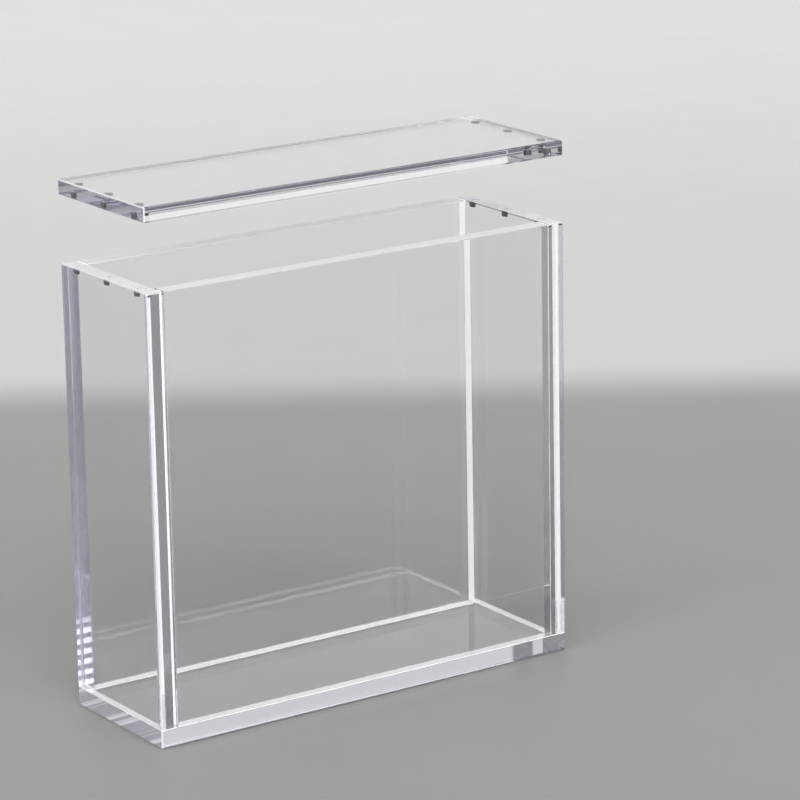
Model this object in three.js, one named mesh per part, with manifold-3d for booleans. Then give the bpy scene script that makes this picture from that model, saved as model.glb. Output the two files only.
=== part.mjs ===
// Clear acrylic display case with a loose lid that magnets hold on.
// Millimetres. X runs along the case, Y from front to back and Z up.
// The origin is the centre of the base plate's underside.
import * as THREE from 'three';
import { mergeVertices } from 'three/addons/utils/BufferGeometryUtils.js';
import Module from 'manifold-3d';

const wasm = await Module();
wasm.setup();

// Outside of the case, without its lid
const CASE_LENGTH = 160;
const CASE_DEPTH = 53;
const RIM_HEIGHT = 149;

// Sheets that the panels are cut from
const WALL_THICKNESS = 6;
const BASE_THICKNESS = 6;
const LID_THICKNESS = 5;

// Polished flat along each edge that stays open to the hand
const ARRIS = 0.4;

// Cement between two sheets, and how far it stays behind their edges
const CEMENT_THICKNESS = 0.3;
const CEMENT_SETBACK = 0.1;

// Disc magnets, and the blind pockets that they are glued into
const MAGNET_DIAMETER = 3;
const MAGNET_HEIGHT = 2;
const MAGNET_ARRIS = 0.15;
const MAGNET_PITCH = 18.6;
const MAGNET_RECESS = 0.1;
const POCKET_CLEARANCE = 0.1;

// How far the lid is lifted off the rim, as it is shown
const LID_LIFT = 22.5;

// Sides of a round piece, and how far a cutter runs past what it cuts
const ROUND_SIDES = 32;
const CUTTER_OVERRUN = 1;

// Sizes that follow
const WALL_BOTTOM = BASE_THICKNESS + CEMENT_THICKNESS;
const WALL_HEIGHT = RIM_HEIGHT - WALL_BOTTOM;
const END_PANEL_X = (CASE_LENGTH - WALL_THICKNESS) / 2;
const LONG_PANEL_Y = (CASE_DEPTH - WALL_THICKNESS) / 2;
const LONG_PANEL_LENGTH = CASE_LENGTH - 2 * (WALL_THICKNESS + CEMENT_THICKNESS);
const CORNER_SEAM_X = (LONG_PANEL_LENGTH + CEMENT_THICKNESS) / 2;
const SEAM_WIDTH = WALL_THICKNESS - 2 * CEMENT_SETBACK;
const POCKET_RADIUS = MAGNET_DIAMETER / 2 + POCKET_CLEARANCE;
const POCKET_DEPTH = MAGNET_RECESS + MAGNET_HEIGHT + POCKET_CLEARANCE;

// Names of the repeated pieces, with the side of the origin that each is on
const ENDS = [['left', -1], ['right', 1]];
const SIDES = [['front', -1], ['rear', 1]];
const MAGNET_PLACES = [['front', -1], ['middle', 0], ['rear', 1]];

// Finishes
function clearAcrylic() {
  return new THREE.MeshStandardMaterial({
    color: 0xe4e6ee, roughness: 0.04, metalness: 0, transparent: true, opacity: 0.35,
  });
}

function nickelPlate() {
  return new THREE.MeshStandardMaterial({ color: 0x8d8f94, roughness: 0.25, metalness: 1 });
}

function whiteCement() {
  return new THREE.MeshStandardMaterial({ color: 0xf4f4f6, roughness: 0.6, metalness: 0 });
}

// Cutting
function toSolid(geometry) {
  const bare = geometry.clone();
  bare.deleteAttribute('normal');
  bare.deleteAttribute('uv');
  const merged = mergeVertices(bare);
  const mesh = new wasm.Mesh({
    numProp: 3,
    vertProperties: new Float32Array(merged.attributes.position.array),
    triVerts: new Uint32Array(merged.index.array),
  });
  return new wasm.Manifold(mesh);
}

function cutAway(geometry, cutters) {
  const solid = cutters.reduce((left, cutter) => left.subtract(toSolid(cutter)), toSolid(geometry));
  const { vertProperties, triVerts } = solid.getMesh();
  const shared = new THREE.BufferGeometry();
  shared.setAttribute('position', new THREE.BufferAttribute(vertProperties, 3));
  shared.setIndex(new THREE.BufferAttribute(triVerts, 1));
  const faceted = shared.toNonIndexed();
  faceted.computeVertexNormals();
  return faceted;
}

// A rectangle about the origin, seen from above. Both corners at each end in cutEnds lose an arris:
// -1 is the low X end and 1 the high one.
function sheetOutline(length, depth, cutEnds) {
  const corners = [[-1, -1], [1, -1], [1, 1], [-1, 1]];
  const points = corners.flatMap(([endX, endY]) => {
    const cut = cutEnds.includes(endX) ? ARRIS : 0;
    const x = endX * length / 2;
    const y = endY * depth / 2;
    if (cut === 0) {
      return [new THREE.Vector2(x, y)];
    }
    const onLongEdge = new THREE.Vector2(x - endX * cut, y);
    const onShortEdge = new THREE.Vector2(x, y - endY * cut);
    return endX === endY ? [onShortEdge, onLongEdge] : [onLongEdge, onShortEdge];
  });
  return new THREE.Shape(points);
}

// A sheet lying on z = 0, with an arris round each face that isn't cemented to another sheet
function polishedSheet(outline, height, { bottomCemented = false, topCemented = false } = {}) {
  const low = bottomCemented ? -ARRIS : 0;
  const high = topCemented ? height + ARRIS : height;
  const sheet = new THREE.ExtrudeGeometry(outline, {
    depth: high - low - 2 * ARRIS,
    bevelSegments: 1,
    bevelThickness: ARRIS,
    bevelSize: ARRIS,
    bevelOffset: -ARRIS,
  });
  sheet.translate(0, 0, low + ARRIS);
  sheet.computeBoundingBox();
  const size = sheet.boundingBox.getSize(new THREE.Vector3()).addScalar(CUTTER_OVERRUN);
  const slab = ARRIS + CUTTER_OVERRUN;
  const trims = [];
  if (bottomCemented) {
    trims.push(new THREE.BoxGeometry(size.x, size.y, slab).translate(0, 0, -slab / 2));
  }
  if (topCemented) {
    trims.push(new THREE.BoxGeometry(size.x, size.y, slab).translate(0, 0, height + slab / 2));
  }
  return cutAway(sheet, trims);
}

// A drill bit for one blind pocket, down from z = 0
function pocketCutter() {
  const length = POCKET_DEPTH + CUTTER_OVERRUN;
  const bit = new THREE.CylinderGeometry(POCKET_RADIUS, POCKET_RADIUS, length, ROUND_SIDES);
  return bit.rotateX(Math.PI / 2).translate(0, 0, length / 2 - POCKET_DEPTH);
}

// A disc on z = 0 with broken edges
function magnetDisc() {
  const radius = MAGNET_DIAMETER / 2;
  const profile = [
    new THREE.Vector2(0, 0),
    new THREE.Vector2(radius - MAGNET_ARRIS, 0),
    new THREE.Vector2(radius, MAGNET_ARRIS),
    new THREE.Vector2(radius, MAGNET_HEIGHT - MAGNET_ARRIS),
    new THREE.Vector2(radius - MAGNET_ARRIS, MAGNET_HEIGHT),
    new THREE.Vector2(0, MAGNET_HEIGHT),
  ];
  return new THREE.LatheGeometry(profile, ROUND_SIDES).rotateX(Math.PI / 2);
}

function basePlate() {
  const outline = sheetOutline(CASE_LENGTH, CASE_DEPTH, [-1, 1]);
  return polishedSheet(outline, BASE_THICKNESS, { topCemented: true });
}

// The end panels are as deep as the case, and their outer upright edges are the case's corners
function endPanel(end) {
  const outline = sheetOutline(WALL_THICKNESS, CASE_DEPTH, [end]);
  const panel = polishedSheet(outline, WALL_HEIGHT, { bottomCemented: true });
  const pockets = MAGNET_PLACES.map(([, place]) => (
    pocketCutter().translate(0, place * MAGNET_PITCH, WALL_HEIGHT)
  ));
  return cutAway(panel, pockets);
}

// The front and rear panels fit between the end panels
function longPanel() {
  const outline = sheetOutline(LONG_PANEL_LENGTH, WALL_THICKNESS, []);
  return polishedSheet(outline, WALL_HEIGHT, { bottomCemented: true });
}

function lidPlate() {
  const lid = polishedSheet(sheetOutline(CASE_LENGTH, CASE_DEPTH, [-1, 1]), LID_THICKNESS);
  const pockets = ENDS.flatMap(([, end]) => MAGNET_PLACES.map(([, place]) => (
    pocketCutter().rotateX(Math.PI).translate(end * END_PANEL_X, place * MAGNET_PITCH, 0)
  )));
  return cutAway(lid, pockets);
}

function addPiece(parent, name, geometry, material, x, y, z) {
  const piece = new THREE.Mesh(geometry, material);
  piece.name = name;
  piece.position.set(x, y, z);
  parent.add(piece);
}

function addMagnets(parent, holder, height) {
  for (const [endName, end] of ENDS) {
    for (const [placeName, place] of MAGNET_PLACES) {
      const name = `${endName}_${holder}_magnet_${placeName}`;
      addPiece(parent, name, magnetDisc(), nickelPlate(), end * END_PANEL_X, place * MAGNET_PITCH, height);
    }
  }
}

function addSeams(parent) {
  const baseSeamZ = BASE_THICKNESS + CEMENT_THICKNESS / 2;
  const cornerSeamZ = WALL_BOTTOM + WALL_HEIGHT / 2;
  const endSeamDepth = CASE_DEPTH - 2 * CEMENT_SETBACK;
  const longSeamLength = LONG_PANEL_LENGTH - 2 * CEMENT_SETBACK;
  const cornerSeamHeight = WALL_HEIGHT - 2 * CEMENT_SETBACK;
  for (const [endName, end] of ENDS) {
    const film = new THREE.BoxGeometry(SEAM_WIDTH, endSeamDepth, CEMENT_THICKNESS);
    addPiece(parent, `base_seam_${endName}`, film, whiteCement(), end * END_PANEL_X, 0, baseSeamZ);
  }
  for (const [sideName, side] of SIDES) {
    const film = new THREE.BoxGeometry(longSeamLength, SEAM_WIDTH, CEMENT_THICKNESS);
    addPiece(parent, `base_seam_${sideName}`, film, whiteCement(), 0, side * LONG_PANEL_Y, baseSeamZ);
    for (const [endName, end] of ENDS) {
      const upright = new THREE.BoxGeometry(CEMENT_THICKNESS, SEAM_WIDTH, cornerSeamHeight);
      const name = `corner_seam_${sideName}_${endName}`;
      addPiece(parent, name, upright, whiteCement(), end * CORNER_SEAM_X, side * LONG_PANEL_Y, cornerSeamZ);
    }
  }
}

function caseBox() {
  const box = new THREE.Group();
  addPiece(box, 'base_plate', basePlate(), clearAcrylic(), 0, 0, 0);
  for (const [endName, end] of ENDS) {
    addPiece(box, `${endName}_end_panel`, endPanel(end), clearAcrylic(), end * END_PANEL_X, 0, WALL_BOTTOM);
  }
  for (const [sideName, side] of SIDES) {
    addPiece(box, `${sideName}_panel`, longPanel(), clearAcrylic(), 0, side * LONG_PANEL_Y, WALL_BOTTOM);
  }
  addSeams(box);
  addMagnets(box, 'wall', RIM_HEIGHT - MAGNET_RECESS - MAGNET_HEIGHT);
  return box;
}

function liftedLid() {
  const lid = new THREE.Group();
  lid.position.z = RIM_HEIGHT + LID_LIFT;
  addPiece(lid, 'lid_plate', lidPlate(), clearAcrylic(), 0, 0, 0);
  addMagnets(lid, 'lid', MAGNET_RECESS);
  return lid;
}

const displayCase = new THREE.Group();
displayCase.add(caseBox(), liftedLid());

export default displayCase;
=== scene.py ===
# %% [markdown]
# # A clear display case, finished in Blender
# The case is six sheets of cast acrylic, twelve small disc magnets and eight films of cement. Its
# lid is loose and hangs above the rim here, as if someone were lifting it off. The CAD model
# already holds every size and place, so this lesson loads it as a fixed frame, models each piece
# again over it with softer edges, and gives it a finish. Everything is in metres, with X along
# the case, Y from front to back and Z up.

# %% Load the frame
import math

import bmesh
import bpy
from mathutils import Euler, Matrix, Vector


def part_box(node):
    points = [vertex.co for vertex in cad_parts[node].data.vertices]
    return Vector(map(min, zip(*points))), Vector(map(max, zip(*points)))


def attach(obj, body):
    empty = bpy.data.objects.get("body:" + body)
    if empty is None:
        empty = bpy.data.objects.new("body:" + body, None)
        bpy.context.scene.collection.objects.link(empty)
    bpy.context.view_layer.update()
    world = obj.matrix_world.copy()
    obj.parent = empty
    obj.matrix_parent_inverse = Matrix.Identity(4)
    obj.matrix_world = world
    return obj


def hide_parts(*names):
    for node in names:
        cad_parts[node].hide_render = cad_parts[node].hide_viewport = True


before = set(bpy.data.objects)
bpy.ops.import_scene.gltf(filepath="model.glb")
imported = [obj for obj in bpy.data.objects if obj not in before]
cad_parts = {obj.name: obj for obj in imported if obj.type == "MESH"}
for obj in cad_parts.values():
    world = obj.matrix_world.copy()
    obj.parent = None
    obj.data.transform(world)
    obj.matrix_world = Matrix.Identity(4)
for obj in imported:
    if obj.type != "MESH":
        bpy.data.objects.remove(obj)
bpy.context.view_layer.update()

MM = 0.001


# %% [markdown]
# ## Camera
# The camera stands where the photographer stood: off the left end, in front, looking a little
# down. A camera can be placed by eye, by tracking, or by fitting a box to the corners in the
# picture. The last is exact for a case that is a box itself, so the numbers below come from such
# a fit. A long lens keeps the upright edges almost parallel. The function at the end tells where
# a point falls in the picture, which is a quick test of the fit.

# %% Place the camera
SENSOR_WIDTH = 36.0
LENS = 177.2
PICTURE_SIDE = 800
HEADING = math.radians(-34.19)
DOWNWARD_TILT = math.radians(15.52)
ROLL = math.radians(-1.0)
CAMERA_PLACE = Vector((-677.6, -1044.1, 441.0)) * MM

camera_data = bpy.data.cameras.new("photo_camera")
camera_data.lens = LENS
camera_data.sensor_width = SENSOR_WIDTH
camera_data.clip_start = 0.05
camera_data.clip_end = 50.0
camera = bpy.data.objects.new("photo_camera", camera_data)
bpy.context.collection.objects.link(camera)
level_turn = Euler((math.pi / 2 - DOWNWARD_TILT, 0.0, HEADING)).to_matrix()
rolled_turn = level_turn @ Matrix.Rotation(ROLL, 3, "Z")
camera.matrix_world = Matrix.LocRotScale(CAMERA_PLACE, rolled_turn, None)
bpy.context.scene.camera = camera


def picture_place(point):
    """Where a point falls in the picture, in pixels from its top left corner."""
    x, y, z = camera.matrix_world.inverted() @ Vector(point)
    scale = PICTURE_SIDE * LENS / SENSOR_WIDTH
    middle = PICTURE_SIDE / 2
    return round(middle - scale * x / z, 1), round(middle + scale * y / z, 1)


BASE_LOW, BASE_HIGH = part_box("base_plate")
print("near corner of the base at pixel", picture_place(BASE_LOW))

# %% [markdown]
# ## Shader sums as plain expressions
# A finish needs small sums: so much haze here, so much wear there. In the node editor each sum is
# a box with wires. In a script the same boxes are easier to read as arithmetic, so this class
# wraps one output socket. Adding or multiplying two of them makes a Math node, and `node` makes a
# node of any other type.


# %% A socket that can be added and multiplied
class Wire:
    def __init__(self, tree, socket=None):
        self.tree = tree
        self.socket = socket

    def node(self, kind, settings, sockets, output=0):
        made = self.tree.nodes.new("ShaderNode" + kind)
        for name, value in settings.items():
            setattr(made, name, value)
        for name, value in sockets.items():
            if isinstance(value, Wire):
                self.tree.links.new(value.socket, made.inputs[name])
            else:
                made.inputs[name].default_value = value
        return Wire(self.tree, made.outputs[output] if made.outputs else None)

    def reckon(self, operation, left, right):
        return self.node("Math", {"operation": operation}, {0: left, 1: right})

    def __add__(self, other):
        return self.reckon("ADD", self, other)

    __radd__ = __add__

    def __mul__(self, other):
        return self.reckon("MULTIPLY", self, other)

    __rmul__ = __mul__

    def __sub__(self, other):
        return self.reckon("SUBTRACT", self, other)

    def __rsub__(self, other):
        return self.reckon("SUBTRACT", other, self)

    def __abs__(self):
        return self.node("Math", {"operation": "ABSOLUTE"}, {0: self})

    def step(self, low, high):
        """0 below low, 1 above high and a smooth rise between."""
        settings = {"interpolation_type": "SMOOTHSTEP"}
        limits = {"Value": self, "From Min": low, "From Max": high}
        return self.node("MapRange", settings, limits)

    def between(self, low, high, soft):
        """1 between low and high, falling to 0 over the soft distance inside each end."""
        return self.step(low, low + soft) * (1.0 - self.step(high - soft, high))

    def mix(self, first, second):
        """The first colour where this value is 0 and the second where it is 1."""
        return self.node("Mix", {"data_type": "RGBA"}, {0: self, 6: first, 7: second}, 2)


def new_material(name):
    material = bpy.data.materials.new(name)
    material.use_nodes = True
    material.node_tree.nodes.clear()
    return material, Wire(material.node_tree)


def grey(level):
    return level, level, level, 1.0


print("a Wire can", [name for name in vars(Wire) if not name.startswith("__")])

# %% [markdown]
# ## Acrylic, 1: the clear sheet
# Cast acrylic bends light like glass with an index of 1.49. It can be faked with a see-through
# coat, but then the edges stay dull. All the life of this case is in its edges, where light runs
# inside the sheet from face to face, so the sheets are solid glass with real thickness. Across a
# sheet it has no colour, but along it the edges turn a cool lavender grey. That is what
# absorption in a volume does, and a tint on the surface can't. A cloth leaves faint long wipe
# marks on the faces: a noise that is stretched along X dulls the gloss by a hair there.

# %% Clear sheet with wipe marks
WIPE_STRETCH = (14.0, 60.0, 220.0)
WIPE_DULLNESS = 0.006
acrylic, start = new_material("polished_acrylic")
place = start.node("TexCoord", {}, {}, "Object")
along, inward, height = (start.node("SeparateXYZ", {}, {"Vector": place}, axis) for axis in "XYZ")
stretched = start.node("Mapping", {}, {"Vector": place, "Scale": WIPE_STRETCH})
long_noise = start.node("TexNoise", {}, {"Vector": stretched, "Scale": 1.0, "Detail": 4.0})
wipes = long_noise.step(0.56, 0.8)
clear_sheet = start.node("BsdfPrincipled", {}, {
    "Base Color": (0.99, 0.99, 0.995, 1.0),
    "Roughness": WIPE_DULLNESS * wipes,
    "IOR": 1.49,
    "Transmission Weight": 1.0,
})
depth_tint = start.node("VolumeAbsorption", {}, {
    "Color": (0.35, 0.32, 0.6, 1.0),
    "Density": 4.0,
})
print(acrylic.name, "has", len(acrylic.node_tree.nodes), "nodes so far")

# %% [markdown]
# ## Acrylic, 2: sanded rim and foot
# In the photo the rim is matt white: its saw marks were sanded flat and never polished. The foot
# of each wall was sanded too, so that the cement would hold, and it shines through as a cream
# line. A second material on those faces would do, but a mask keeps a sheet to one material: both
# faces are known by their height alone.

# %% Mask the sanded rim and foot
FOOT_HEIGHT, RIM_HEIGHT = (corner.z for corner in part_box("front_panel"))
EDGE_SKIN = 0.05 * MM
RIM_WHITE, FOOT_WHITE = 0.97, 0.4


def at_height(level):
    return height.between(level - EDGE_SKIN, level + EDGE_SKIN, 0.6 * EDGE_SKIN)


sanding = RIM_WHITE * at_height(RIM_HEIGHT) + FOOT_WHITE * at_height(FOOT_HEIGHT)
print("rim at", round(RIM_HEIGHT / MM, 1), "mm, foot at", round(FOOT_HEIGHT / MM, 1), "mm")

# %% [markdown]
# ## Acrylic, 3: milky edges of the base, partly painted reflection
# The saw leaves an edge milky until it is polished right through. On the base the long edges are
# milky except along their foot, and the ends carry slanted saw marks. The white of the long edges
# is also a painted reflection of the pale surroundings that a polished edge shows. Near the right
# end the long edges turn clear, as in the photo, but for one spot that the polish missed. A
# painted picture of the edge would show the same, but it would need an image, and masks by place
# need none.

# %% Mask the milky edges of the base, partly painted reflection
BASE_MILK_AND_REFLECTION, CLEARED = 0.65, 0.75
END_MILK, SAW_MILK = 0.35, 0.4
SAW_SLANT, SAW_FINENESS = 0.44, 420.0
CLEAR_FROM = (57 * MM, 58.5 * MM)
MISSED_FROM, MISSED_TO = 66 * MM, 70.5 * MM
FOOT_FADE = (0.3 * MM, 1.3 * MM)
on_base = 1.0 - height.step(BASE_HIGH.z - EDGE_SKIN, BASE_HIGH.z)
long_edge = abs(inward).step(BASE_HIGH.y - 2 * EDGE_SKIN, BASE_HIGH.y - EDGE_SKIN)
end_edge = abs(along).step(BASE_HIGH.x - 2 * EDGE_SKIN, BASE_HIGH.x - EDGE_SKIN)
clear_end = along.step(*CLEAR_FROM)
missed_spot = along.between(MISSED_FROM, MISSED_TO, 0.3 * MM)
above_foot = height.step(*FOOT_FADE)
across_saw = {"W": SAW_SLANT * inward + height, "Scale": SAW_FINENESS}
saw_marks = start.node("TexNoise", {"noise_dimensions": "1D"}, across_saw).step(0.5, 0.62)
# Partly painted reflection: the milky white on the long edges also stands in for the pale
# surroundings that a polished edge shows.
long_milk_and_reflection = BASE_MILK_AND_REFLECTION * long_edge * above_foot * (1.0 - CLEARED * (clear_end - missed_spot))
base_milk_and_reflection = on_base * (long_milk_and_reflection + end_edge * (END_MILK + SAW_MILK * saw_marks))
print("base masks:", len(acrylic.node_tree.nodes), "nodes so far")

# %% [markdown]
# ## Acrylic, 4: milky edges of the lid and the right end, partly painted reflection
# The lid's long edges are milky in their lower half, up to the same place near the right end. The
# right end panel has a narrow milky stripe up its front edge. Both whites are also a painted
# reflection of the pale surroundings that these polished edges show. Both could be cut as faces of
# their own with a second material, but the sheets stay simpler with two more masks.

# %% Mask the milky edges of the lid and the right end, partly painted reflection
LID_MILK_AND_REFLECTION, STRIPE_MILK_AND_REFLECTION = 0.75, 0.85
BAND_FROM, BAND_TO = 0.45 * MM, 2.35 * MM
STRIPE_FROM, STRIPE_TO = 2.4 * MM, 4.0 * MM
lid_low, lid_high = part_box("lid_plate")
right_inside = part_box("right_end_panel")[0].x
lower_half = height.between(lid_low.z + BAND_FROM, lid_low.z + BAND_TO, 0.1 * MM)
# Partly painted reflection: this milky white also stands in for the pale surroundings seen in the
# lid's polished edges.
lid_milk_and_reflection = LID_MILK_AND_REFLECTION * long_edge * lower_half * (1.0 - clear_end)
stripe = along.between(right_inside + STRIPE_FROM, right_inside + STRIPE_TO, 0.2 * MM)
on_walls = height.between(BASE_HIGH.z, RIM_HEIGHT, EDGE_SKIN)
in_front = 1.0 - inward.step(lid_low.y, 0.0)
# Partly painted reflection: the stripe's white also stands in for the pale surroundings seen in
# the polished edge.
stripe_milk_and_reflection = STRIPE_MILK_AND_REFLECTION * long_edge * stripe * on_walls * in_front
print("lid and right end masks:", len(acrylic.node_tree.nodes), "nodes so far")

# %% [markdown]
# ## Acrylic, 5: painted highlight lines
# A polished arris catches the light as a fine bright line, and here those highlights are painted
# on as white lines. In the photo such lines run inside the rim at the rear, along both ends of the
# lid and down the near corner, and a fainter one runs round the outside of the rim. They lie on
# the bevelled edge, the arris, so a line is where two masks by place overlap.

# %% Mask the painted highlight lines
ARRIS = 0.4 * MM
HIGHLIGHT_WHITE, FAINT_HIGHLIGHT_WHITE = 0.8, 0.45
rear_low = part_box("rear_panel")[0]
LINE_START, LINE_FULL = 0.97 * ARRIS, 0.92 * ARRIS


def on_arris(value, face):
    """1 on the bevel that ends at the given face, measured along one axis, with a soft start."""
    return value.step(face - LINE_START, face - LINE_FULL)


outer_end = on_arris(abs(along), lid_high.x)
outer_side = on_arris(abs(inward), lid_high.y)
rear_inside = inward.between(rear_low.y - EDGE_SKIN, rear_low.y + ARRIS, EDGE_SKIN)
below_lid = 1.0 - height.step(RIM_HEIGHT, lid_low.z)
on_rim = on_arris(height, RIM_HEIGHT) * below_lid
lid_highlight = outer_end * on_arris(height, lid_high.z)
near_corner_highlight = on_arris(0.0 - along, lid_high.x) * on_arris(0.0 - inward, lid_high.y)
# Painted highlights: these white lines on the arrises stand in for the light that the edges catch.
highlight_lines = rear_inside * on_rim + lid_highlight + near_corner_highlight
faint_highlight_lines = (outer_end + outer_side) * on_rim
painted_highlight = HIGHLIGHT_WHITE * highlight_lines + FAINT_HIGHLIGHT_WHITE * faint_highlight_lines
print("scraped lines are", round(ARRIS / MM, 1), "mm wide")

# %% [markdown]
# ## Acrylic, 6: the mix
# Now the acrylic is put together. Each white place could be a material of its own, but one mix of
# clear and white, by the sum of all the masks, is enough. Part of that white is painted light: the
# highlight lines and some of the milky edges. The white is a little lavender on the base, where it
# lies over deep acrylic.

# %% Mix clear and white
LAVENDER_WHITE = (0.91, 0.895, 0.96, 1.0)
GRAIN_WHITE_DARK, GRAIN_WHITE_LIGHT = grey(0.93), grey(0.98)
grain = start.node("TexNoise", {}, {"Vector": place, "Scale": 2500.0, "Detail": 2.0})
white = start.node("BsdfPrincipled", {}, {
    "Base Color": on_base.mix(grain.mix(GRAIN_WHITE_DARK, GRAIN_WHITE_LIGHT), LAVENDER_WHITE),
    "Roughness": 0.5 + 0.2 * grain,
})
# Part of this sum is painted light: the highlight lines and some of the milky white.
whiteness = sanding + base_milk_and_reflection + lid_milk_and_reflection + stripe_milk_and_reflection + painted_highlight
surface = start.node("MixShader", {}, {0: whiteness, 1: clear_sheet, 2: white})
start.node("OutputMaterial", {}, {"Surface": surface, "Volume": depth_tint})
print(acrylic.name, "has", len(acrylic.node_tree.nodes), "nodes in all")

# %% [markdown]
# ## Cement
# The panels are stuck edge to face with a cement that sets as a thin white film full of tiny
# bubbles. Seen face on there is little of it to look through, and it is almost clear. Seen along
# the joint it is dense and white. Layer Weight knows the slant, so it mixes clear with white.
# Light reaches a film only by way of the sheets, and after a few bounces a render has lost most
# of it, so a glow stands in for what would still arrive.

# %% White cement
GLOW = 0.65
SLANT_FROM, SLANT_TO = 0.25, 0.55
cement, start = new_material("set_cement")
place = start.node("TexCoord", {}, {}, "Object")
cloud = start.node("TexNoise", {}, {"Vector": place, "Scale": 300.0, "Detail": 4.0})
bubbles = start.node("TexVoronoi", {}, {"Vector": place, "Scale": 1200.0}).step(0.1, 0.3)
white = start.node("BsdfPrincipled", {}, {
    "Base Color": cloud.mix((0.93, 0.93, 0.94, 1.0), grey(0.98)),
    "Roughness": 0.5 + 0.2 * cloud,
    "Emission Color": grey(1.0),
    "Emission Strength": GLOW,
})
face_on = start.node("BsdfTransparent", {}, {})
slant = start.node("LayerWeight", {}, {"Blend": 0.5}, "Facing").step(SLANT_FROM, SLANT_TO)
body = slant * (0.85 + 0.15 * bubbles)
surface = start.node("MixShader", {}, {0: body, 1: face_on, 2: white})
start.node("OutputMaterial", {}, {"Surface": surface})
print(cement.name, "has", len(cement.node_tree.nodes), "nodes")

# %% [markdown]
# ## Magnet plating
# Small disc magnets are plated with nickel, here a dark one. They are tumbled in a drum, so the
# plating carries fine dents, and it is a little cloudy. A scanned metal would need pictures, and
# two noises do as well at 3 mm. No dark dots show on the white rim in the photo, so the face of
# each wall magnet that lies just under it gets a dab of white.

# %% Dark nickel with white tops
NICKEL_DARK, NICKEL_LIGHT = grey(0.12), (0.2, 0.2, 0.21, 1.0)
DAB_DEPTH = 0.13 * MM
magnet_plate, start = new_material("dark_nickel")
place = start.node("TexCoord", {}, {}, "Object")
height = start.node("SeparateXYZ", {}, {"Vector": place}, "Z")
cloud = start.node("TexNoise", {}, {"Vector": place, "Scale": 900.0, "Detail": 4.0})
dents = 1.0 - start.node("TexVoronoi", {}, {"Vector": place, "Scale": 2600.0}).step(0.05, 0.3)
dab = height.between(RIM_HEIGHT - DAB_DEPTH, RIM_HEIGHT + EDGE_SKIN, 0.01 * MM)
surface = start.node("BsdfPrincipled", {}, {
    "Base Color": dab.mix(cloud.mix(NICKEL_DARK, NICKEL_LIGHT), GRAIN_WHITE_DARK),
    "Roughness": 0.28 + 0.15 * cloud + 0.15 * dents,
    "Metallic": 1.0 - dab,
})
start.node("OutputMaterial", {}, {"Surface": surface})
print(magnet_plate.name, "has", len(magnet_plate.node_tree.nodes), "nodes")

# %% [markdown]
# ## Hands
# Each sheet starts as a cube at its size and place and is then worked in edit mode. By hand one
# would click on the edges; a script picks them by where they lie. Six small functions do the
# picking, adding, copying and fitting, so that the cells after this one read like a list of what
# the hands do.


# %% Picking, adding and copying
HAIR = 1e-6


def pick(piece):
    bpy.ops.object.select_all(action="DESELECT")
    piece.select_set(True)
    bpy.context.view_layer.objects.active = piece


def block(name, low, high):
    """A cube stretched between two corners, with its place kept in its mesh."""
    bpy.ops.object.select_all(action="DESELECT")
    bpy.ops.mesh.primitive_cube_add(size=1.0, location=(low + high) / 2)
    piece = bpy.context.object
    piece.scale = high - low
    bpy.ops.object.transform_apply(location=True, rotation=True, scale=True)
    piece.name = piece.data.name = name
    return piece


def select_edges(wanted):
    """Selects the edges of the mesh in edit mode whose two ends pass the test, and counts them."""
    mesh = bpy.context.edit_object.data
    shape = bmesh.from_edit_mesh(mesh)
    for edge in shape.edges:
        edge.select_set(wanted(*(corner.co for corner in edge.verts)))
    shape.select_flush_mode()
    bmesh.update_edit_mesh(mesh)
    return sum(edge.select for edge in shape.edges)


def near(a, b):
    return abs(a - b) < HAIR


def copy_of(piece, name, shift=(0.0, 0.0, 0.0), turn=0.0):
    """A copy with its own mesh, turned about the Z axis and then moved."""
    pick(piece)
    bpy.ops.object.duplicate(linked=False)
    twin = bpy.context.object
    twin.name = twin.data.name = name
    twin.location = shift
    twin.rotation_euler.z = turn
    bpy.ops.object.transform_apply(location=True, rotation=True, scale=True)
    return twin


def fit(piece, node, body, material):
    """Gives a finished piece its material and sets it in the frame in place of a CAD node."""
    piece.data.materials.append(material)
    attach(piece, body)
    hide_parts(node)
    print(piece.name, "stands in for", node, "with", len(piece.data.polygons), "faces")


print("nodes to stand in for:", len(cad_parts))

# %% [markdown]
# ## Polished edges
# A saw leaves a sheet with sharp corners. Each edge that a hand can reach is then broken with a
# scraper and flamed or buffed, which leaves a bright line 0.4 mm wide. A Bevel modifier would
# round every edge alike. Here the edges that are cemented to another sheet must stay sharp, so
# only those that pass a test are bevelled, in three small steps.

# %% Bevel the edges that stay open
BEVEL_STEPS = 3


def bevel_selected(width):
    bpy.ops.mesh.bevel(
        offset=width, offset_type="OFFSET", segments=BEVEL_STEPS, profile=0.5, affect="EDGES"
    )


def polish(piece, wanted):
    pick(piece)
    bpy.ops.object.mode_set(mode="EDIT")
    bpy.ops.mesh.select_mode(type="EDGE")
    bpy.ops.mesh.select_all(action="DESELECT")
    count = select_edges(wanted)
    bevel_selected(ARRIS)
    bpy.ops.object.mode_set(mode="OBJECT")
    print(piece.name, "has", count, "polished edges")


print("each polished edge is", round(ARRIS / MM, 1), "mm wide, in", BEVEL_STEPS, "steps")

# %% [markdown]
# ## Base
# The base is one plate under the whole case. The walls stand on its top and are cemented there,
# so its four top edges stay sharp, and the eight others are polished.

# %% Cut the base
base_sheet = block("base_sheet", BASE_LOW, BASE_HIGH)
polish(base_sheet, lambda a, b: not (near(a.z, BASE_HIGH.z) and near(b.z, BASE_HIGH.z)))
fit(base_sheet, "base_plate", "case", acrylic)

# %% [markdown]
# ## Front and rear panels
# These two are the same sheet, butted between the end panels. Only the four edges round the rim
# are open. One panel is cut and the other is a copy of it, moved back. It could share the mesh,
# but a mesh of its own keeps its place.

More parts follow.
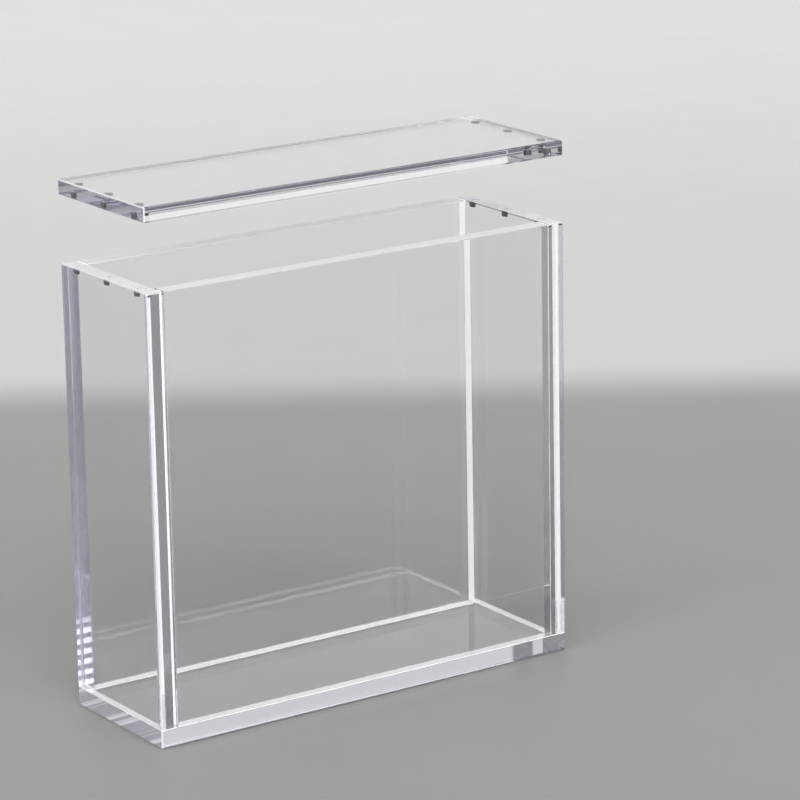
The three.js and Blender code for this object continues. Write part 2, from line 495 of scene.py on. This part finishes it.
# %% Cut one long panel and copy it
front_low, front_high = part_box("front_panel")
front_sheet = block("front_sheet", front_low, front_high)
polish(front_sheet, lambda a, b: near(a.z, RIM_HEIGHT) and near(b.z, RIM_HEIGHT))
rear_sheet = copy_of(front_sheet, "rear_sheet", rear_low - front_low)
fit(front_sheet, "front_panel", "case", acrylic)
fit(rear_sheet, "rear_panel", "case", acrylic)

# %% [markdown]
# ## Left end panel
# The end panels are as deep as the case, so their outer upright edges are its corners. Those two
# and the four edges of the rim are polished. The right end is the left one turned half round, but
# first the magnets' pockets are drilled.

# %% Cut the left end
left_low, left_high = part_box("left_end_panel")
left_sheet = block("left_end_sheet", left_low, left_high)


def open_on_left_end(a, b):
    on_top = near(a.z, left_high.z) and near(b.z, left_high.z)
    outer_corner = near(a.x, left_low.x) and near(b.x, left_low.x) and near(a.y, b.y)
    return on_top or outer_corner


polish(left_sheet, open_on_left_end)

# %% [markdown]
# ## Lid
# The lid is a plain sheet of the same outline, with no lip. Nothing is cemented to it, so all its
# twelve edges are polished.

# %% Cut the lid
lid_sheet = block("lid_sheet", lid_low, lid_high)
polish(lid_sheet, lambda a, b: True)

# %% [markdown]
# ## One magnet
# A disc magnet is pressed and then tumbled, so its rims are a little round. It starts as a
# cylinder whose two rims are bevelled. 64 sides look round even close up, and smooth shading up
# to 35 degrees keeps the flat faces flat.

# %% Turn one disc
MAGNET_SIDES = 64
MAGNET_ARRIS = 0.15 * MM
SMOOTH_UP_TO = math.radians(35)


def disc(name, low, high, arris):
    """A round disc that fills a box, with rounded rims."""
    bpy.ops.object.select_all(action="DESELECT")
    radius = (high.x - low.x) / 2
    middle = (low + high) / 2
    depth = high.z - low.z
    bpy.ops.mesh.primitive_cylinder_add(
        vertices=MAGNET_SIDES, radius=radius, depth=depth, location=middle
    )
    piece = bpy.context.object
    bpy.ops.object.transform_apply(location=True, rotation=True, scale=True)
    piece.name = piece.data.name = name
    bpy.ops.object.mode_set(mode="EDIT")
    bpy.ops.mesh.select_mode(type="EDGE")
    bpy.ops.mesh.select_all(action="DESELECT")
    select_edges(lambda a, b: near(a.z, b.z))
    bevel_selected(arris)
    bpy.ops.object.mode_set(mode="OBJECT")
    bpy.ops.object.shade_smooth_by_angle(angle=SMOOTH_UP_TO)
    return piece


FIRST_MAGNET = "left_wall_magnet_front"
first_low, first_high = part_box(FIRST_MAGNET)
first_disc = disc("left_wall_disc_front", first_low, first_high, MAGNET_ARRIS)
print(first_disc.name, [round(size / MM, 2) for size in first_disc.dimensions], "mm")

# %% [markdown]
# ## Pockets
# The magnets sit in blind holes: three down into the top of each end panel and three up into the
# lid at each end. A hole can be modelled face by face or cut with a Boolean. The Boolean is what
# a drill does, so one bit is made and a copy of it is sunk wherever a magnet goes. The bit is a
# hair thinner than the magnet, so that acrylic and magnet touch: with air round it, light would
# turn back at the hole and the magnet would look like silver. A little air stays at the blind
# end.

# %% Drill the left end and the lid
GLUE_BITE = 0.01 * MM
AIR_AT_END = 0.05 * MM
OVERRUN = 1.0 * MM
SPOTS = ("front", "middle", "rear")
bit_low = first_low + Vector((GLUE_BITE, GLUE_BITE, -AIR_AT_END))
bit_high = Vector((first_high.x - GLUE_BITE, first_high.y - GLUE_BITE, RIM_HEIGHT + OVERRUN))
bit = disc("drill_bit", bit_low, bit_high, MAGNET_ARRIS)


def drill(sheet, node, lower_end):
    """Sinks a copy of the bit where a magnet goes, with its lower end at the given height."""
    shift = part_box(node)[0] - first_low
    shift.z = lower_end - bit_low.z
    sunk_bit = copy_of(bit, "sunk_bit", shift)
    pick(sheet)
    cut = sheet.modifiers.new("pocket", "BOOLEAN")
    cut.operation = "DIFFERENCE"
    cut.solver = "EXACT"
    cut.object = sunk_bit
    bpy.ops.object.modifier_apply(modifier=cut.name)
    bpy.data.objects.remove(sunk_bit)


for spot in SPOTS:
    drill(left_sheet, f"left_wall_magnet_{spot}", bit_low.z)
    for end in ("left", "right"):
        drill(lid_sheet, f"{end}_lid_magnet_{spot}", lid_low.z - OVERRUN)
bpy.data.objects.remove(bit)
for sheet in (left_sheet, lid_sheet):
    print(sheet.name, "is drilled and has", len(sheet.data.polygons), "faces")

# %% [markdown]
# ## Right end panel
# The case is the same at both ends, so the right end is the drilled left one, turned half round
# about the middle.

# %% Copy the left end and fit the drilled sheets
right_sheet = copy_of(left_sheet, "right_end_sheet", turn=math.pi)
fit(left_sheet, "left_end_panel", "case", acrylic)
fit(right_sheet, "right_end_panel", "case", acrylic)
fit(lid_sheet, "lid_plate", "lid", acrylic)

# %% [markdown]
# ## All the magnets
# The other eleven are copies of the first disc. The six in the walls stay with the case and the
# six in the lid ride with it.

# %% Copy the disc into the other pockets
for holder, body in (("wall", "case"), ("lid", "lid")):
    for end in ("left", "right"):
        for spot in SPOTS:
            node = f"{end}_{holder}_magnet_{spot}"
            if node == FIRST_MAGNET:
                continue
            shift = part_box(node)[0] - first_low
            twin = copy_of(first_disc, f"{end}_{holder}_disc_{spot}", shift)
            fit(twin, node, body, magnet_plate)
fit(first_disc, FIRST_MAGNET, "case", magnet_plate)

# %% [markdown]
# ## Cement films, 1: a ragged edge
# Cement runs into a joint by itself and stops where it likes, so the edge of the film wanders a
# little. A film starts as a thin slab. Its long edges are divided, and each cross-section is
# narrowed by its own small amount. Displacing the slab with a noise would be quicker, but it
# would change its thickness too.

# %% Narrow a film here and there
USUAL_SHARE = 0.965
LONG_CUTS, SHORT_CUTS = 27, 9


def share_of_width(number):
    """How much of its width a film keeps at one cross-section."""
    return USUAL_SHARE + 0.02 * math.sin(2.1 * number) + 0.015 * math.sin(5.3 * number)


def ragged(film, long_axis, wide_axis, cuts):
    pick(film)
    bpy.ops.object.mode_set(mode="EDIT")
    bpy.ops.mesh.select_mode(type="EDGE")
    bpy.ops.mesh.select_all(action="DESELECT")
    select_edges(lambda a, b: not near(a[long_axis], b[long_axis]))
    bpy.ops.mesh.subdivide(number_cuts=cuts)
    shape = bmesh.from_edit_mesh(film.data)
    stations = sorted({round(corner.co[long_axis], 6) for corner in shape.verts})
    middle = sum((corner.co for corner in shape.verts), Vector()) / len(shape.verts)
    for number, station in enumerate(stations):
        select_edges(
            lambda a, b: max(abs(a[long_axis] - station), abs(b[long_axis] - station)) < 2 * HAIR
        )
        narrowing = [1.0, 1.0, 1.0]
        narrowing[wide_axis] = share_of_width(number)
        bpy.ops.transform.resize(value=narrowing, center_override=middle)
    bpy.ops.object.mode_set(mode="OBJECT")
    print(film.name, "has", len(stations), "cross-sections")


shares = [share_of_width(number) for number in range(LONG_CUTS + 2)]
print("films keep", round(min(shares), 3), "to", round(max(shares), 3), "of their width")

# %% [markdown]
# ## Cement films, 2: upright joints
# Four films stand at the corners, where the long panels meet the end panels. Here the cement
# wetted both sheets, so the film is a hair thicker than its gap and touches them. One film is
# shaped, and three are copies of it. No two joints come out alike: in the photo the one at the
# front left holds a narrow film, and the one at the front right looks dry and dark, so those two
# copies are squeezed, one in width and the other in thickness.

# %% Lay the upright films
X_AXIS, Y_AXIS, Z_AXIS = 0, 1, 2
WETTED = Vector((0.03 * MM, 0.0, 0.0))
SQUEEZED = {
    "rear_left": (1.0, 1.0, 1.0),
    "front_left": (1.0, 0.42, 1.0),
    "front_right": (0.66, 1.0, 1.0),
}
corner_low, corner_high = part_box("corner_seam_rear_right")
corner_film = block("corner_film_rear_right", corner_low - WETTED, corner_high + WETTED)
ragged(corner_film, Z_AXIS, Y_AXIS, LONG_CUTS)
for joint, share in SQUEEZED.items():
    low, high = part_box(f"corner_seam_{joint}")
    film = copy_of(corner_film, f"corner_film_{joint}", low - corner_low)
    bpy.ops.object.mode_set(mode="EDIT")
    bpy.ops.mesh.select_all(action="SELECT")
    bpy.ops.transform.resize(value=share, center_override=(low + high) / 2)
    bpy.ops.object.mode_set(mode="OBJECT")
    fit(film, f"corner_seam_{joint}", "case", cement)
fit(corner_film, "corner_seam_rear_right", "case", cement)

# %% [markdown]
# ## Cement films, 3: joints with the base
# Under the walls the seams shine like a mirror in the photo, which is what a thin layer of air
# does. So these films are a hair thinner than their gap and touch nothing. The front one is
# copied to the rear and the left one to the right.

# %% Lay the films on the base
AIR_LEFT = Vector((0.0, 0.0, 0.03 * MM))
for first, second, long_axis, wide_axis, cuts in (
    ("front", "rear", X_AXIS, Y_AXIS, LONG_CUTS),
    ("left", "right", Y_AXIS, X_AXIS, SHORT_CUTS),
):
    seam_low, seam_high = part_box(f"base_seam_{first}")
    film = block(f"base_film_{first}", seam_low + AIR_LEFT, seam_high - AIR_LEFT)
    ragged(film, long_axis, wide_axis, cuts)
    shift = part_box(f"base_seam_{second}")[0] - seam_low
    twin = copy_of(film, f"base_film_{second}", shift)
    fit(film, f"base_seam_{first}", "case", cement)
    fit(twin, f"base_seam_{second}", "case", cement)

# %% [markdown]
# ## Floor
# The photo has a dark table in front of a light wall. This stage keeps the change of tone but
# stays pale: one plain, slightly warm floor that is grey round the case and lighter well away
# from it. A wall would get in the way of views from behind. The floor lies a little under the
# base, so that no two faces share a place, and it is faintly mottled like paint.

# %% Lay the floor
FLOOR_NEAR = (0.38, 0.378, 0.364, 1.0)
FLOOR_BEHIND = (0.74, 0.737, 0.722, 1.0)
FLOOR_FAR = (0.86, 0.857, 0.842, 1.0)
BACK_LINE, FAR_BACK, FAR_SIDE = (0.33, 0.4), (0.5, 1.3), (0.6, 1.0)
AWAY, SIDEWAYS = (0.56, 0.83, 0.0), (0.83, -0.56, 0.0)
FLOOR_WIDTH, FLOOR_DROP = 12.0, 0.3 * MM
floor_paint, start = new_material("pale_floor")
place = start.node("TexCoord", {}, {}, "Object")
DOT = {"operation": "DOT_PRODUCT"}
behind = start.node("VectorMath", DOT, {0: place, 1: AWAY}, "Value")
aside = start.node("VectorMath", DOT, {0: place, 1: SIDEWAYS}, "Value")
mottle = start.node("TexNoise", {}, {"Vector": place, "Scale": 30.0, "Detail": 5.0})
plain = behind.step(*BACK_LINE).mix(FLOOR_NEAR, FLOOR_BEHIND)
plain = abs(behind).step(*FAR_BACK).mix(plain, FLOOR_FAR)
plain = abs(aside).step(*FAR_SIDE).mix(plain, FLOOR_FAR)
surface = start.node("BsdfPrincipled", {}, {
    "Base Color": (0.06 * mottle).mix(plain, grey(0.3)),
    "Roughness": 0.3 + 0.1 * mottle,
    "Specular IOR Level": 0.2,
})
start.node("OutputMaterial", {}, {"Surface": surface})
bpy.ops.object.select_all(action="DESELECT")
bpy.ops.mesh.primitive_plane_add(size=FLOOR_WIDTH, location=(0.0, 0.0, -FLOOR_DROP))
floor = bpy.context.object
floor.name = "floor"
floor.data.materials.append(floor_paint)
print("floor is", floor.dimensions.x, "m wide")

# %% [markdown]
# ## Light, 1: a plain sky
# Clear things have no colour of their own and show what is round them. Lamps would leave hard
# spots in the sheets, so all the light comes from the world, painted by direction: pale low down,
# a darker slate belt at mid height that draws the edges, and a soft white ceiling. The far left
# is slate further down and the near right half so: the edge strips and the lid's rear edge look
# that way, and this is what tints them.

# %% Paint the sky by height
SLATE = (0.19, 0.185, 0.215, 1.0)
PALE = grey(0.75)
SLATE_BELT = (0.37, 0.43)
SIDE_WIDTH = (0.72, 0.8)
world = bpy.data.worlds.new("studio")
bpy.context.scene.world = world
world.use_nodes = True
world.node_tree.nodes.clear()
start = Wire(world.node_tree)
direction = start.node("TexCoord", {}, {}, "Generated")
height = start.node("SeparateXYZ", {}, {"Vector": direction}, "Z")


def toward(x, y, z):
    """How far the direction agrees with the given one: 1 is the same, 0 at a right angle."""
    aim = Vector((x, y, z)).normalized()
    return start.node("VectorMath", DOT, {0: direction, 1: aim}, "Value")


sky = height.step(*SLATE_BELT).mix(PALE, SLATE)
far_left = toward(-0.6, 0.8, 0.0).step(*SIDE_WIDTH)
near_right = toward(0.6, -0.8, 0.0).step(*SIDE_WIDTH)
print("sky bands:", len(world.node_tree.nodes), "nodes")

# %% [markdown]
# ## Light, 2: a dark flag and a bright belt
# Photographers hang black cards, called flags, so that a clear edge gets a dark line. The lid's
# front edge sends part of its light up and backwards. Its top mirrors the sky just below that. A
# flag whose lower edge lies in the mirrored plane from the camera through the lid's edge
# therefore darkens the edge and leaves the top pale. The floor of the case and its seams mirror a
# higher belt of the sky, which is kept bright.

# %% Hang the flag and the belt behind the case
FLAG_SOFTNESS = 0.0003
FLAG_WIDTH = (0.84, 0.88)
FLAG_TOP, BELT_TOP = (0.27, 0.285), (0.35, 0.37)
BELT = grey(1.2)
NEAR_RIGHT_SHARE = 0.55
to_edge = Vector((0.0, lid_low.y, lid_high.z)) - CAMERA_PLACE
above_lid = toward(0.0, to_edge.z, to_edge.y).step(-FLAG_SOFTNESS, FLAG_SOFTNESS)
behind_case = toward(*AWAY).step(*FLAG_WIDTH)
above_flag = height.step(*FLAG_TOP)
below_belt_top = 1.0 - height.step(*BELT_TOP)
sky = (above_lid * behind_case * (1.0 - above_flag)).mix(sky, SLATE)
sky = (above_flag * behind_case * below_belt_top).mix(sky, BELT)
sky = (far_left + NEAR_RIGHT_SHARE * near_right).mix(sky, SLATE)
flag_rise = math.degrees(math.atan2(-to_edge.z, to_edge.y))
print("flag starts", round(flag_rise, 1), "degrees up, seen from the side")

# %% [markdown]
# ## Light, 3: a small window
# Two things in the photo look up to one small place in the sky, at the near right. The rear panel
# mirrors the seams as pale lines, and the foot of the left rear corner shows a stair of light
# stripes. A lamp behind bars could light both, but it would cast hard shadows too, so a small
# window is painted on the sky. The camera sees the front seam mirrored in the rear panel, and the
# seam, a mirror itself, looks up from there: the window's lower edge lies just under that line of
# sight. A blind hangs in its left side, and the slats make the stripes.

# %% Open the window
SLAT_PITCH, SLAT_SHIFT = 0.00256, 0.00218
BLIND_SPAN, PANE_SPAN = (-0.009, 0.018, 0.006), (-0.005, 0.0125, 0.0015)
BLIND_SIDE, BLIND_SOFTNESS = (-0.8708, -0.4917, 0.0), 0.0004
WINDOW_AIM, WINDOW_EDGE = (0.507, -0.8, 0.32), (0.9973, 0.9983)
WINDOW_LIGHT = grey(4.0)
to_seam = Vector((0.0, 2 * rear_low.y - front_high.y, FOOT_HEIGHT)) - CAMERA_PLACE
over_seam = toward(0.0, -to_seam.z, to_seam.y)
up_and_down = over_seam.reckon("PINGPONG", over_seam + SLAT_SHIFT, SLAT_PITCH / 2)
slats = up_and_down.step(0.2 * SLAT_PITCH, 0.3 * SLAT_PITCH)
left_side = toward(*BLIND_SIDE).step(-BLIND_SOFTNESS, BLIND_SOFTNESS)
blind = left_side * slats * over_seam.between(*BLIND_SPAN)
pane = (1.0 - left_side) * over_seam.between(*PANE_SPAN)
window = toward(*WINDOW_AIM).step(*WINDOW_EDGE) * (pane + blind)
sky = window.mix(sky, WINDOW_LIGHT)
print("window and blind:", len(world.node_tree.nodes), "nodes so far")

# %% [markdown]
# ## Light, 4: soft boxes
# A ceiling and two large soft boxes, at the left and in front, light the white rim, the milky
# edges and the floor. Their faces never show in the flat panels from the photo's side, because
# those mirror the floor. Close to the horizon the sky is plain and pale all round, which is all
# of it that a camera on a level with the case can see.

# %% Set the soft boxes
CEILING, CEILING_EDGE = grey(0.7), (0.66, 0.8)
LEFT_BOX, LEFT_EDGE = grey(2.5), (0.84, 0.91)
FRONT_BOX, FRONT_EDGE = grey(2.4), (0.76, 0.88)
HORIZON = (0.1, 0.14)
sky = height.step(*CEILING_EDGE).mix(sky, CEILING)
sky = toward(-0.945, -0.15, 0.29).step(*LEFT_EDGE).mix(sky, LEFT_BOX)
sky = toward(-0.2, -0.87, 0.45).step(*FRONT_EDGE).mix(sky, FRONT_BOX)
sky = height.step(*HORIZON).mix(PALE, sky)
light = start.node("Background", {}, {"Color": sky, "Strength": 1.0})
start.node("OutputWorld", {}, {"Surface": light})
print("world has", len(world.node_tree.nodes), "nodes")

# %% [markdown]
# ## Light paths
# In a clear box a ray passes many faces before it leaves, and inside an edge it bounces on and
# on. With the usual twelve steps such rays end in black, so the limits are raised. The plain view
# keeps colours as they are written.

# %% Let the rays run
MOST_STEPS = 64
scene = bpy.context.scene
scene.view_settings.view_transform = "Standard"
scene.cycles.max_bounces = MOST_STEPS
scene.cycles.diffuse_bounces = 8
scene.cycles.glossy_bounces = MOST_STEPS
scene.cycles.transmission_bounces = MOST_STEPS
scene.cycles.transparent_max_bounces = 16
print("a ray may take", scene.cycles.max_bounces, "steps")

# %% [markdown]
